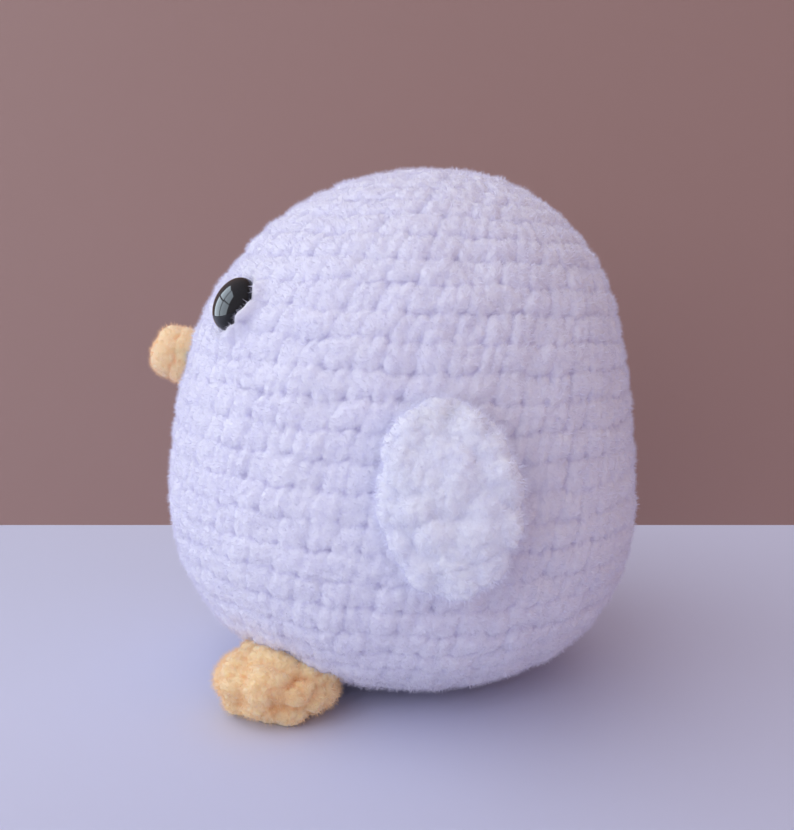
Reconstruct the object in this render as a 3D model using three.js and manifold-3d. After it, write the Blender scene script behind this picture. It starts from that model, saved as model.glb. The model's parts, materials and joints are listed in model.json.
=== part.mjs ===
// A crochet bird: one plump hollow cover of plush yarn, filled, with a pair of wings, a beak
// and two feet sewn on, and two snap-in plastic eyes. Millimetres. +Z is up, the bird faces -Y
// and its left side is +X. The origin is on the table, under the middle of the flat base.
import * as THREE from "three";
import { mergeVertices } from "three/addons/utils/BufferGeometryUtils.js";
import Module from "manifold-3d";

const wasm = await Module();
wasm.setup();

// The body's outside, as it stands filled
const bodyHeight = 138.8;
const bellyRadius = 65.5;
const bellyHeight = 49;
const crownTaper = 10; // how much narrower the flank would end at the crown, were it not rounded
const taperBlend = 0.1; // share of the flank over which the taper sets in
const crownPower = 3.8; // how square the shoulders of the crown are
const basePower = 2; // these two set how square the turn of the base is
const baseRoot = 3;
const baseCut = 0.5; // depth of the flat on which the body stands
const bellyForward = 3; // how far the belly's middle lies in front of the base's middle
const crownBack = 4.3; // how far the crown's middle lies behind it

// The crocheted cover and what fills it
const coverWall = 5;
const seatGap = 0.3; // between a piece and what carries it
const facetGap = 0.3; // what the flat facets of a round wall may take from a gap
const baseWall = 5.5;

// Plastic eyes, with a ribbed post and a snap washer behind the cover
const eyeDiameter = 14;
const eyeDome = 5;
const eyeRim = 0.8;
const eyeHeight = 103;
const eyeTurn = 38.5; // degrees from straight ahead to either side
const eyeSink = 1; // how deep the eye presses into the pile
const postDiameter = 5;
const postLength = 15;
const postTip = 1; // height of the post's tapered tip
const tipTaper = 0.8; // how much narrower the post's end is
const ribDepth = 0.3;
const ribPitch = 1.6;
const ribCount = 4;
const rimEdge = 0.3; // bevel under the eye's rim
const washerDiameter = 15;
const washerThickness = 1.4;
const collarDiameter = 9;
const collarHeight = 1.2;

// Wings: flat ovals that hang from a seam on the flank
const wingWidth = 29.4;
const wingLength = 42;
const wingThickness = 10;
const wingTop = 83.2; // height of the wing's upper edge
const wingTurn = 6.5; // degrees behind the bird's side
const wingSlant = 4; // degrees by which the tip trails towards the tail
const wingHang = 4.5; // degrees by which the wing leans out, down the flank
const wingFullness = 0.7; // under 1 the oval is fuller than an ellipsoid
const seamDepth = 3.6; // from the wing's upper edge down to its seam

// Beak: one small ball
const beakWidth = 17;
const beakDepth = 16.4;
const beakTall = 16.6;
const beakHeight = 88;
const beakProud = 3.6; // from the face to the ball's middle

// Feet: two small cushions under the front of the base
const footWidth = 26;
const footLength = 32;
const footThick = 16.4;
const footAside = 38;
const footAhead = 35.5;
const footFullness = 0.8;

// The yarn that sews each piece on
const yarnDiameter = 2.4;
const yarnBend = 2; // bend radius of the yarn's middle line
const yarnInside = 2.2; // how far behind the cover the yarn runs
const yarnTail = 2; // straight length of each end behind the cover
const wingStitch = 7; // straight length of the stitch inside the wing's upper edge
const beakStitch = 6;
const footStitch = 8;
const stitchReach = 3.4; // how deep a stitch goes into the beak or a foot

// Steps round and along the shapes
const bodySides = 36;
const bodyRows = 9;
const smallSides = 20;
const smallRows = 12;
const domeSteps = 6;
const yarnSides = 8;
const yarnSteps = 30;
const notchSteps = 4;
const fineStep = 0.3; // step with which the cover's slope and thickness are felt

const finish = (color, roughness) => new THREE.MeshStandardMaterial({ color, roughness, metalness: 0 });
const whiteYarn = finish(0xdedbf0, 0.95);
const wingYarn = finish(0xe0def4, 0.95);
const seamYarn = finish(0xd2cfe6, 0.95);
const peachYarn = finish(0xf0c890, 0.95);
const footYarn = finish(0xe8b878, 0.95);
const blackPlastic = finish(0x0b0b0d, 0.08);
const clearPlastic = finish(0xd8dade, 0.4);
const fibreFill = finish(0xf4f4f2, 1);

// Solids and meshes

// A closed geometry as a solid, without the triangles that shrink to nothing at a pole.
function solidOf(geometry) {
  const bare = geometry.clone();
  bare.deleteAttribute("normal");
  bare.deleteAttribute("uv");
  const merged = mergeVertices(bare, 1e-4);
  const corners = merged.index.array;
  const kept = [];
  for (let i = 0; i < corners.length; i += 3) {
    const [a, b, c] = [corners[i], corners[i + 1], corners[i + 2]];
    if (a !== b && b !== c && a !== c) kept.push(a, b, c);
  }
  const vertProperties = merged.attributes.position.array;
  const triVerts = new Uint32Array(kept);
  return new wasm.Manifold(new wasm.Mesh({ numProp: 3, vertProperties, triVerts }));
}

function meshOf(solid, name, material) {
  const { vertProperties, triVerts } = solid.getMesh();
  const geometry = new THREE.BufferGeometry();
  geometry.setAttribute("position", new THREE.BufferAttribute(vertProperties, 3));
  geometry.setIndex(new THREE.BufferAttribute(triVerts, 1));
  geometry.computeVertexNormals();
  const mesh = new THREE.Mesh(geometry, material);
  mesh.name = name;
  return mesh;
}

// A profile of [radius, height] points, from the axis at the bottom to the axis at the top.
function turned(profile, sides) {
  const points = profile.map(([radius, height]) => new THREE.Vector2(radius, height));
  return new THREE.LatheGeometry(points, sides).rotateX(Math.PI / 2);
}

// The body's outline

const radians = THREE.MathUtils.degToRad;

// The outline's radius at a height, drawn in by an inset: 0 is the outside of the cover.
function outlineRadius(height, inset = 0, low = -baseCut) {
  const widest = bellyRadius - inset;
  if (height < bellyHeight) {
    const down = Math.min((bellyHeight - height) / (bellyHeight - low), 1);
    return widest * (1 - down ** basePower) ** (1 / baseRoot);
  }
  const up = Math.min((height - bellyHeight) / (bodyHeight - inset - bellyHeight), 1);
  const taper = (crownTaper / bellyRadius) * (Math.hypot(up, taperBlend) - taperBlend);
  return widest * (1 - taper) * Math.sqrt(1 - up ** crownPower);
}

// How far behind the origin the outline's middle lies at a height: a bow through the belly
// and the crown.
function middleAt(height) {
  const rise = crownBack + (bellyForward * bodyHeight) / bellyHeight;
  const bow = rise / (bodyHeight * (bodyHeight - bellyHeight));
  return height * (bow * (height - bellyHeight) - bellyForward / bellyHeight);
}

// Rows close up towards the base and the crown, where the outline turns.
function bodyProfile(inset, low, floor) {
  const heights = [];
  const quarter = Math.PI / 2;
  for (let row = bodyRows; row >= 0; row -= 1) {
    heights.push(bellyHeight - (bellyHeight - low) * Math.sin((quarter * row) / bodyRows));
  }
  for (let row = 1; row <= bodyRows; row += 1) {
    const top = bodyHeight - inset;
    heights.push(bellyHeight + (top - bellyHeight) * Math.sin((quarter * row) / bodyRows));
  }
  const above = heights.filter((height) => height > floor + seatGap);
  const profile = above.map((height) => [outlineRadius(height, inset, low), height]);
  profile[profile.length - 1][0] = 0;
  return [[0, floor], [outlineRadius(floor, inset, low), floor], ...profile];
}

// The body's form at an inset, flat at its floor, with its rows shifted along the bow.
function bodyForm(inset, low, floor) {
  const geometry = turned(bodyProfile(inset, low, floor), bodySides);
  const places = geometry.attributes.position;
  for (let i = 0; i < places.count; i += 1) {
    places.setY(i, places.getY(i) + middleAt(places.getZ(i)));
  }
  return solidOf(geometry);
}

// A place on the cover: the point, the way out and the level way round, at a height and a turn
// in degrees from the bird's left side towards its tail.
function onCover(height, turn) {
  const around = radians(turn);
  const spot = (at) => {
    const radius = outlineRadius(at);
    return new THREE.Vector3(radius * Math.cos(around), radius * Math.sin(around) + middleAt(at), at);
  };
  const point = spot(height);
  const rise = spot(height + fineStep).sub(spot(height - fineStep)).normalize();
  const round = new THREE.Vector3(-Math.sin(around), Math.cos(around), 0);
  const outward = new THREE.Vector3().crossVectors(round, rise).normalize();
  return { point, outward, round };
}

// How far the cover's inside lies behind a place on it.
function depthOfCover({ point, outward }) {
  let depth = 0;
  const probe = point.clone();
  const inside = () =>
    Math.hypot(probe.x, probe.y - middleAt(probe.z)) < outlineRadius(probe.z, coverWall, baseWall);
  while (!inside() && depth < 4 * coverWall) {
    depth += fineStep / 10;
    probe.copy(point).addScaledVector(outward, -depth);
  }
  return depth;
}

// Turns a geometry made round +Z so that +Z becomes the way out, +X the way round, and moves
// its origin to the point.
function setOn(geometry, point, outward, round) {
  const across = new THREE.Vector3().crossVectors(outward, round);
  const place = new THREE.Matrix4().makeBasis(round, across, outward).setPosition(point);
  return geometry.applyMatrix4(place);
}

// A rounded cushion: a sphere with three half sizes, filled out towards its edges.
function cushion(halfX, halfY, halfZ, fullness) {
  const geometry = new THREE.SphereGeometry(1, smallSides, smallRows).rotateX(Math.PI / 2);
  const places = geometry.attributes.position;
  for (let i = 0; i < places.count; i += 1) {
    const z = places.getZ(i);
    const lift = Math.sign(z) * Math.abs(z) ** fullness;
    places.setXYZ(i, places.getX(i) * halfX, places.getY(i) * halfY, lift * halfZ);
  }
  return geometry;
}

// Sewing yarn

// The stitch's middle line: out through the cover, along inside the sewn piece, and back, with
// both ends turned towards each other behind the cover. Local X runs along the stitch and
// local Z out of the cover, and the cover's outside is at Z 0.
function stitchLine(run, reach, depth, tail) {
  const half = run / 2 + yarnBend;
  const back = -depth - yarnInside;
  const end = run / 2 - tail;
  const corners = [
    [-end, back],
    [-half, back],
    [-half, reach],
    [half, reach],
    [half, back],
    [end, back],
  ].map(([x, z]) => new THREE.Vector3(x, 0, z));
  const line = new THREE.CurvePath();
  let from = corners[0];
  for (let i = 1; i < corners.length - 1; i += 1) {
    const corner = corners[i];
    const before = corner.clone().add(corners[i - 1].clone().sub(corner).setLength(yarnBend));
    const after = corner.clone().add(corners[i + 1].clone().sub(corner).setLength(yarnBend));
    line.add(new THREE.LineCurve3(from, before));
    line.add(new THREE.QuadraticBezierCurve3(before, corner, after));
    from = after;
  }
  line.add(new THREE.LineCurve3(from, corners.at(-1)));
  return line;
}

function stitch(line, radius) {
  const section = new THREE.Shape();
  for (let side = 0; side < yarnSides; side += 1) {
    const turn = (2 * Math.PI * side) / yarnSides;
    const corner = [radius * Math.cos(turn), radius * Math.sin(turn)];
    if (side === 0) section.moveTo(...corner);
    else section.lineTo(...corner);
  }
  const along = { extrudePath: line, steps: yarnSteps, bevelEnabled: false };
  return new THREE.ExtrudeGeometry(section, along);
}

// The yarn's solid, and the channel that it needs in what it passes through.
function sewn({ point, outward, round }, run, reach, depth) {
  const place = (gap) => {
    const line = stitchLine(run, reach, depth, yarnTail + gap);
    return solidOf(setOn(stitch(line, yarnDiameter / 2 + gap), point, outward, round));
  };
  return { yarn: place(0), channel: place(seatGap) };
}

// Eyes

// The eye's outline round its own axis, with the seat at height 0.
function eyeGeometry() {
  const radius = eyeDiameter / 2;
  const post = postDiameter / 2;
  const profile = [[0, -postLength], [post - tipTaper, -postLength], [post, postTip - postLength]];
  for (let rib = 1; rib <= ribCount; rib += 1) {
    const height = postTip - postLength + rib * ribPitch;
    profile.push([post, height - ribPitch / 2]);
    profile.push([post + ribDepth, height - ribPitch / 4]);
    profile.push([post, height]);
  }
  profile.push([post, 0], [radius - rimEdge, 0], [radius, rimEdge], [radius, eyeRim]);
  for (let step = 1; step <= domeSteps; step += 1) {
    const turn = (Math.PI * step) / (2 * domeSteps);
    profile.push([radius * Math.cos(turn), eyeRim + (eyeDome - eyeRim) * Math.sin(turn)]);
  }
  profile[profile.length - 1][0] = 0;
  return turned(profile, smallSides);
}

// A flat ring with a collar, both round the post.
function washerGeometry() {
  const bore = postDiameter / 2 + ribDepth + seatGap;
  const ring = [
    [bore, -washerThickness - collarHeight],
    [collarDiameter / 2, -washerThickness - collarHeight],
    [collarDiameter / 2, -washerThickness],
    [washerDiameter / 2, -washerThickness],
    [washerDiameter / 2, 0],
    [bore, 0],
    [bore, -washerThickness - collarHeight],
  ];
  return turned(ring, smallSides);
}

function plug(radius, low, high) {
  return turned([[0, low], [radius, low], [radius, high], [0, high]], smallSides);
}

// An eye with its washer, the recess and post hole that they need in the cover, and the pocket
// that they need in the filling. The bird's left eye is on side 1.
function eye(side) {
  const spot = onCover(eyeHeight, side > 0 ? eyeTurn - 90 : -90 - eyeTurn);
  const seat = spot.point.clone().addScaledVector(spot.outward, -eyeSink);
  const placed = (geometry, point = seat) => solidOf(setOn(geometry, point, spot.outward, spot.round));
  const bow = (washerDiameter / 2) ** 2 / (2 * (outlineRadius(eyeHeight) - coverWall));
  const behind = depthOfCover(spot) + bow + seatGap + facetGap;
  const washerSeat = spot.point.clone().addScaledVector(spot.outward, -behind);
  const recess = plug(eyeDiameter / 2 + seatGap, -seatGap, eyeDome + eyeSink);
  const hole = plug(postDiameter / 2 + ribDepth + seatGap, -postLength - eyeSink, 0);
  const roomBack = Math.max(postLength + eyeSink, behind + washerThickness + collarHeight);
  const pocket = plug(washerDiameter / 2 + seatGap, -roomBack, -coverWall / 2);
  return {
    eye: placed(eyeGeometry()),
    washer: placed(washerGeometry(), washerSeat),
    cut: placed(recess).add(placed(hole)),
    pocket: placed(pocket),
  };
}

// Wings

// A notch in the wing's upper edge, for one leg of its stitch. The leg points at the flank, and
// seen from the wing it turns up past the edge as the wing lifts. The notch runs across local X.
function notch(reach, offset) {
  const half = yarnDiameter / 2 + seatGap;
  const section = new THREE.Shape();
  section.moveTo(half, -half);
  section.lineTo(-reach, -half);
  section.absarc(0, 0, reach, Math.PI, Math.PI / 2, true);
  section.lineTo(half, reach);
  section.closePath();
  const across = { depth: 2 * half, bevelEnabled: false, curveSegments: notchSteps };
  const slab = new THREE.ExtrudeGeometry(section, across);
  return slab.rotateY(-Math.PI / 2).translate(offset + half, 0, 0);
}

// The wing hangs from its seam, which is a level line beside the flank. Local X runs along the
// seam towards the tail, local Y up and local Z out of the flank.
function wing(cover) {
  const seamHeight = wingTop - seamDepth * Math.cos(radians(wingHang));
  const spot = onCover(seamHeight, wingTurn);
  const level = new THREE.Vector3().crossVectors(spot.round, new THREE.Vector3(0, 0, 1));
  const half = wingLength / 2;
  const narrowing = 1 - (1 - seamDepth / half) ** 2;
  const halfThick = (wingThickness / 2) * narrowing ** (wingFullness / 2);
  const swing = Math.max(seamDepth, halfThick) + 2 * seatGap;
  const seam = spot.point.clone().addScaledVector(level, swing);
  const oval = cushion(wingWidth / 2, half, wingThickness / 2, wingFullness);
  oval.translate(0, seamDepth - half, 0);
  oval.rotateZ(radians(wingSlant));
  oval.rotateX(radians(-wingHang));
  const through = { point: spot.point, outward: level, round: spot.round };
  const { yarn, channel } = sewn(through, wingStitch, swing, depthOfCover(through));
  let made = solidOf(setOn(oval, seam, level, spot.round)).subtract(cover).subtract(channel);
  for (const leg of [-1, 1]) {
    const offset = leg * (wingStitch / 2 + yarnBend);
    made = made.subtract(solidOf(setOn(notch(swing + seamDepth, offset), seam, level, spot.round)));
  }
  return { wing: made, yarn, channel };
}

// Beak and feet

function beak(cover) {
  const spot = onCover(beakHeight, -90);
  const middle = new THREE.Vector3(0, spot.point.y - beakProud, beakHeight);
  const ball = cushion(beakWidth / 2, beakDepth / 2, beakTall / 2, 1).translate(...middle);
  const { yarn, channel } = sewn(spot, beakStitch, stitchReach, depthOfCover(spot));
  return { beak: solidOf(ball).subtract(cover).subtract(channel), yarn, channel };
}

// The height at which the cover passes over a place that far from its middle.
function undersideOver(distance) {
  let height = 0;
  while (outlineRadius(height) < distance && height < bellyHeight) height += fineStep / 10;
  return height;
}

// A foot, from the bird's left side. It stands on the table with a flat of its own.
function foot(cover, table) {
  const middle = new THREE.Vector3(footAside, -footAhead, footThick / 2 - baseCut);
  const pad = cushion(footWidth / 2, footLength / 2, footThick / 2, footFullness).translate(...middle);
  const height = undersideOver(Math.hypot(footAside, footAhead) - yarnBend);
  const turn = THREE.MathUtils.radToDeg(Math.atan2(-footAhead, footAside));
  const spot = onCover(height, turn);
  const { yarn, channel } = sewn(spot, footStitch, stitchReach, depthOfCover(spot));
  return { foot: solidOf(pad).subtract(cover).subtract(table).subtract(channel), yarn, channel };
}

// The bird

const mirror = (solid) => solid.mirror([1, 0, 0]);
const roomRadius = 4 * bellyRadius;
const table = solidOf(plug(roomRadius, -roomRadius, 0));
const outside = bodyForm(0, -baseCut, 0);
const clearOfCover = bodyForm(-seatGap, -baseCut - seatGap, -seatGap);
const inside = bodyForm(coverWall, baseWall - baseCut, baseWall);
const filling = bodyForm(coverWall + seatGap, baseWall - baseCut + seatGap, baseWall + seatGap);

const leftEye = eye(1);
const rightEye = eye(-1);
const leftWing = wing(clearOfCover);
const leftFoot = foot(clearOfCover, table);
const sewnBeak = beak(clearOfCover);

const channels = [leftWing, leftFoot]
  .flatMap(({ channel }) => [channel, mirror(channel)])
  .concat(sewnBeak.channel);

let coverSolid = outside.subtract(inside);
for (const cut of [leftEye.cut, rightEye.cut, ...channels]) coverSolid = coverSolid.subtract(cut);
let fillSolid = filling;
for (const cut of [leftEye.pocket, rightEye.pocket, ...channels]) fillSolid = fillSolid.subtract(cut);

const bird = new THREE.Group();
bird.add(
  meshOf(coverSolid, "body_cover", whiteYarn),
  meshOf(fillSolid, "body_filling", fibreFill),
  meshOf(leftEye.eye, "left_eye", blackPlastic),
  meshOf(rightEye.eye, "right_eye", blackPlastic),
  meshOf(leftEye.washer, "left_eye_washer", clearPlastic),
  meshOf(rightEye.washer, "right_eye_washer", clearPlastic),
  meshOf(leftWing.wing, "left_wing", wingYarn),
  meshOf(mirror(leftWing.wing), "right_wing", wingYarn),
  meshOf(leftWing.yarn, "left_wing_stitch", seamYarn),
  meshOf(mirror(leftWing.yarn), "right_wing_stitch", seamYarn),
  meshOf(sewnBeak.beak, "beak", peachYarn),
  meshOf(sewnBeak.yarn, "beak_stitch", peachYarn),
  meshOf(leftFoot.foot, "left_foot", footYarn),
  meshOf(mirror(leftFoot.foot), "right_foot", footYarn),
  meshOf(leftFoot.yarn, "left_foot_stitch", footYarn),
  meshOf(mirror(leftFoot.yarn), "right_foot_stitch", footYarn),
);

export default bird;
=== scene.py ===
# A crocheted plush bird: the finish of every piece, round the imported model. Metres.
# +Z is up, the bird faces -Y and its left side is +X.
import json
import math

import bmesh
import bpy
import numpy as np
from mathutils import Matrix, Vector


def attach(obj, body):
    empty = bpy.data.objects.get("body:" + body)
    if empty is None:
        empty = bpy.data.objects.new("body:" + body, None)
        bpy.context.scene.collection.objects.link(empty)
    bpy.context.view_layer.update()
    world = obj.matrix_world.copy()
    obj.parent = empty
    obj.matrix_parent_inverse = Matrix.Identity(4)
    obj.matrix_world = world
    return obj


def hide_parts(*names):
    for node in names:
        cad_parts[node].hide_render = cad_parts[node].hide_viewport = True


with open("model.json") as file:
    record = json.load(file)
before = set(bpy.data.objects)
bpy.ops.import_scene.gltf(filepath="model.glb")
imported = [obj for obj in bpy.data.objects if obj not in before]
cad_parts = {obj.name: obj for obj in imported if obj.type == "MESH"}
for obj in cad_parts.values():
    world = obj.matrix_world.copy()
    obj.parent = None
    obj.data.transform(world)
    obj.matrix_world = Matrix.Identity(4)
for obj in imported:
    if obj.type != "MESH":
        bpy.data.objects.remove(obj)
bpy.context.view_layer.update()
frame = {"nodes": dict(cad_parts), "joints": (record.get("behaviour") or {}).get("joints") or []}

# The camera, fitted to the photograph
PHOTO_LONG_SIDE = 830
FOCAL_PIXELS = 926
SENSOR = 36.0
CAMERA_PLACE = (0.2623, -0.00453, 0.1092)
CAMERA_PITCH = 8.41
NEAREST_SEEN = 0.01

# The body's outline: the same formula and sizes as the frame's cover
BODY_HEIGHT = 0.1388
BELLY_RADIUS = 0.0655
BELLY_HEIGHT = 0.049
CROWN_TAPER = 0.010
TAPER_BLEND = 0.1
CROWN_POWER = 3.8
BASE_POWER = 2
BASE_CUT = 0.0005
BELLY_FORWARD = 0.003
CROWN_BACK = 0.0043
COVER_WALL = 0.005
COVER_FLOOR = 0.0055
SEAT_GAP = 0.0003
TABLE_GAP = 0.0001
SEARCH_STEP = 0.00003

COVER_CELLS = (110, 200)
INSIDE_CELLS = (40, 40)
FILLING_CELLS = (36, 64)
WING_CELLS = (46, 80)
BEAK_CELLS = (30, 50)
FOOT_CELLS = (40, 76)

# The crocheted fabric
ROUND_PITCH = 0.0069
STITCH_WIDTH = 0.0070
COLUMN_LEAN = 0.27
INCREASE = 6
SPARE_ROUNDS = 3
ROUND_TILT = 0.0013
FIRST_ROUND = 0.0024
FABRIC_SINK = 0.0004

# How stitches vary, as shares of one stitch, and the lengths over which they do
WANDER = 0.5
WANDER_LENGTH = 0.012
DRIFT = 0.35
DRIFT_LENGTH = 0.009
LEG_SPLAY = 0.4
LEG_SHIFT = 0.12
LEG_GIRTH = 0.25
LEG_RISE = 0.1
LEG_STAGGER = 0.03
LEG_TALLER = 0.35
LEG_POWER = 2.6
SEED_STEP = 7.31
LOOSE_YARN = 0.28
LOOSE_YARN_LENGTH = 0.006
LOOSE_YARN_BLEND = 0.12

# Tufts, lumps and pile
TUFT_WARP = 0.7
TUFT_CLEFT = 1.25
TUFT_SMOOTH = 0.35
LUMP_SMOOTH = 0.2
FIBRE_SIZES = (0.45, 1.3)
SIZE_SEED = 5
ROOM_SEED = 77
SOWING_SEED = 10
CLUMP_REACH = 3
PILE_SHADE = 0.15
PILE_START = 0.0008
COVER_PILE_RAMP = 0.002
SEWN_PILE_RAMP = 0.0015

# Where a sewn piece is pressed on, and how far its pile may be pressed
FABRIC_PRESS = 0.0012
PRESS_STEPS = 6
SLIGHT_PRESS = 0.0004
OUTER_PRESS = 0.003
OUTER_SIDE = 0.25

# Eyes
EYE_DIAMETER = 0.014
EYE_DOME = 0.005
EYE_RIM = 0.0008
EYE_HEIGHT = 0.103
EYE_TURN = 38.5
EYE_SINK = 0.001
EYE_SIDES = 96
DOME_STEPS = 24
RIM_EDGE = 0.0003
RIM_ROOM = 0.0005
BESIDE_EYE = 0.006
POST_DIAMETER = 0.005
POST_LENGTH = 0.015
POST_TIP = 0.001
TIP_TAPER = 0.0008
RIB_DEPTH = 0.0003
RIB_PITCH = 0.0016
RIB_COUNT = 4
WASHER_DIAMETER = 0.015
LIP_HEIGHT = 0.0027
LIP_WIDTH = 0.0030
LIP_TURN = 22
LIP_NOTCH = 0.1
LIP_EVEN = 0.3

# Wings, beak and feet. The fluff is what the yarn adds to a piece's solid form.
WING_WIDTH = 0.0294
WING_LENGTH = 0.042
WING_THICKNESS = 0.010
WING_SLANT = 4
WING_HANG = 4.5
WING_FULLNESS = 0.7
WING_FLUFF = 0.0006
WING_FLARE = 0.17
FLARE_RAMP = 2.5
SEAM_DRAW = 0.0024
SEAM_DRAW_REACH = 0.011
SEAM_DRAW_POWER = 1.5
SEAM_DEPTH = 0.0036
SEAM_SWING = 0.0042
BEAK_SIZE = (0.017, 0.0164, 0.0166)
BEAK_HEIGHT = 0.088
BEAK_PROUD = 0.0036
BEAK_FULLNESS = 1
FOOT_SIZE = (0.026, 0.032, 0.0164)
FOOT_PLACE = (0.038, -0.0355)
FOOT_FULLNESS = 0.8
FOOT_FLUFF = (0.003, -0.0005, 0.0026)
FOOT_SHIFT = (0.0015, 0.0012, 0.0012)
SEAT_SHARE = 0.88
WING_SEAT_DEPTH = 0.022

# How each piece is crocheted: the way to the pole that it starts from, and its stitches
WING_PATTERN = {"pole": (0.1, -1, 0), "pitch": 0.0062, "width": 0.0062}
BEAK_PATTERN = {"pole": (0.1, -1, 0.05), "pitch": 0.0088, "width": 0.0075}
FOOT_PATTERN = {"pole": (0.85, -0.45, -0.1), "pitch": 0.0068, "width": 0.0072}

# Its finish, under the names of the node trees' inputs. The crease amounts set how much painted
# shade darkens the creases between stitches and the clefts between lumps.
COVER_FABRIC = {"Seed": 1.0, "Stitch Crease": 0.9}
WING_FABRIC = {
    "Seed": 3.0, "Unevenness": 2.0, "Rise": 0.0006, "Sink": 0.0, "Leg Spread": 0.12,
    "Leg Width": 0.55, "Blend": 0.35, "Tuft Size": 0.0018, "Tuft Height": 0.0002,
    "Lump Size": 0.0075, "Lump Height": 0.0015, "Stitch Crease": 0.08, "Lump Crease": 0.15,
}
BEAK_FABRIC = {
    "Seed": 6.0, "Rise": 0.0014, "Sink": 0.0002, "Leg Spread": 0.1, "Leg Width": 0.64,
    "Leg Height": 0.53, "Blend": 0.35, "Tuft Size": 0.0014, "Tuft Height": 0.00012,
    "Lump Size": 0.0075, "Lump Height": 0.0009, "Stitch Crease": 0.7, "Lump Crease": 0.15,
}
FOOT_FABRIC = {
    "Seed": 8.0, "Unevenness": 1.6, "Rise": 0.0009, "Sink": 0.0002, "Leg Spread": 0.12,
    "Leg Width": 0.55, "Blend": 0.4, "Tuft Size": 0.0018, "Tuft Height": 0.0002,
    "Lump Size": 0.0085, "Lump Height": 0.0024, "Stitch Crease": 0.45, "Lump Crease": 0.45,
}
COVER_PILE = {"Density": 0.78e6}
COVER_PILE_PARTS = 4
WING_PILE = {"Density": 5.5e6, "Width": 0.00008, "Rim Length": 0.5}
BEAK_PILE = {"Density": 4.5e6, "Width": 0.00008, "Own Shade": 0.2}
FOOT_PILE = {"Density": 5.5e6, "Width": 0.00008, "Rim Length": 0.4}

# The yarn that sews each piece on
YARN_DIAMETER = 0.0024
YARN_BEND = 0.002
YARN_INSIDE = 0.0022
YARN_TAIL = 0.002
YARN_ROOM = 0.00005
BEND_STEPS = 6
WING_STITCH = 0.007
BEAK_STITCH = 0.006
FOOT_STITCH = 0.008
STITCH_REACH = 0.0034

# Studio. A lamp has a name, a place, a size, its watts and a tint.
STAGE_REACH = 1.5
WALL_PLACE = -0.14
WALL_HEIGHTS = (-0.2, 2)
WINDOW_GLOW = (0.66, 0.64, 0.72, 1)
WALL_GLOW = (0.25, 0.155, 0.13, 1)
GLOW_WAY = (0.6, -0.62, 0.5)
GLOW_RAMP = (-0.4, 1.0)
LAMP_TARGET = (0, 0, 0.07)
LAMPS = [
    ("room side", (0.86, -0.78, 0.62), (1.3, 1.2), 5.7, (0.88, 0.95, 1.0)),
    ("front side", (-0.15, -1.3, 0.9), (1.0, 0.8), 1.9, (0.78, 0.91, 1.0)),
    ("soft top", (0.12, -0.55, 1.15), (1.0, 1.0), 2.8, (0.86, 0.91, 1.0)),
    ("warm side", (0.5, 1.0, 0.35), (0.8, 0.6), 0.85, (1.0, 0.42, 0.33)),
    ("back side", (-1.0, 0.05, 0.62), (1.0, 0.8), 2.2, (1.0, 0.93, 0.96)),
]
WINDOW_PLACE = (-0.12, -0.95, 0.52)
WINDOW_WAY = (0.1, 1, -0.1)
PANE_STEP = (0.28, 0.26)
PANE_SIZE = (0.50, 0.46)
PANE_WATTS = 3.4
PANE_TINT = (0.74, 0.88, 1.0)

# How the names of left and right pieces start, the mirror between them, and what joints move
SIDES = ("left_", "right_")
MIDDLE = ("",)
MIRROR = Matrix.Diagonal((-1, 1, 1, 1))
MOVING = {joint["child"] for joint in frame["joints"]}


# Node trees

class Value:
    """A number in a node tree. Arithmetic on it adds Math nodes."""

    def __init__(self, net, socket):
        self.net = net
        self.socket = socket

    def math(self, operation, *others):
        inputs = dict(enumerate((self, *others)))
        return self.net.get("ShaderNodeMath", {"operation": operation}, inputs)

    def __add__(self, other):
        return self.math("ADD", other)

    def __sub__(self, other):
        return self.math("SUBTRACT", other)

    def __mul__(self, other):
        return self.math("MULTIPLY", other)

    def __truediv__(self, other):
        return self.math("DIVIDE", other)

    def __pow__(self, other):
        return self.math("POWER", other)

    def __rsub__(self, other):
        return (self * -1) + other

    __radd__ = __add__
    __rmul__ = __mul__

    def floor(self):
        return self.math("FLOOR")

    def size(self):
        return self.math("ABSOLUTE")

    def root(self):
        return self.math("MAXIMUM", 0).math("SQRT")

    def soft_max(self, other, width):
        return self.math("SMOOTH_MAX", other, width)

    def ramp(self, low, high):
        """0 at low, 1 at high, and smooth between them."""
        settings = {"interpolation_type": "SMOOTHSTEP"}
        return self.net.get("ShaderNodeMapRange", settings, {0: self, 1: low, 2: high})


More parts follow.
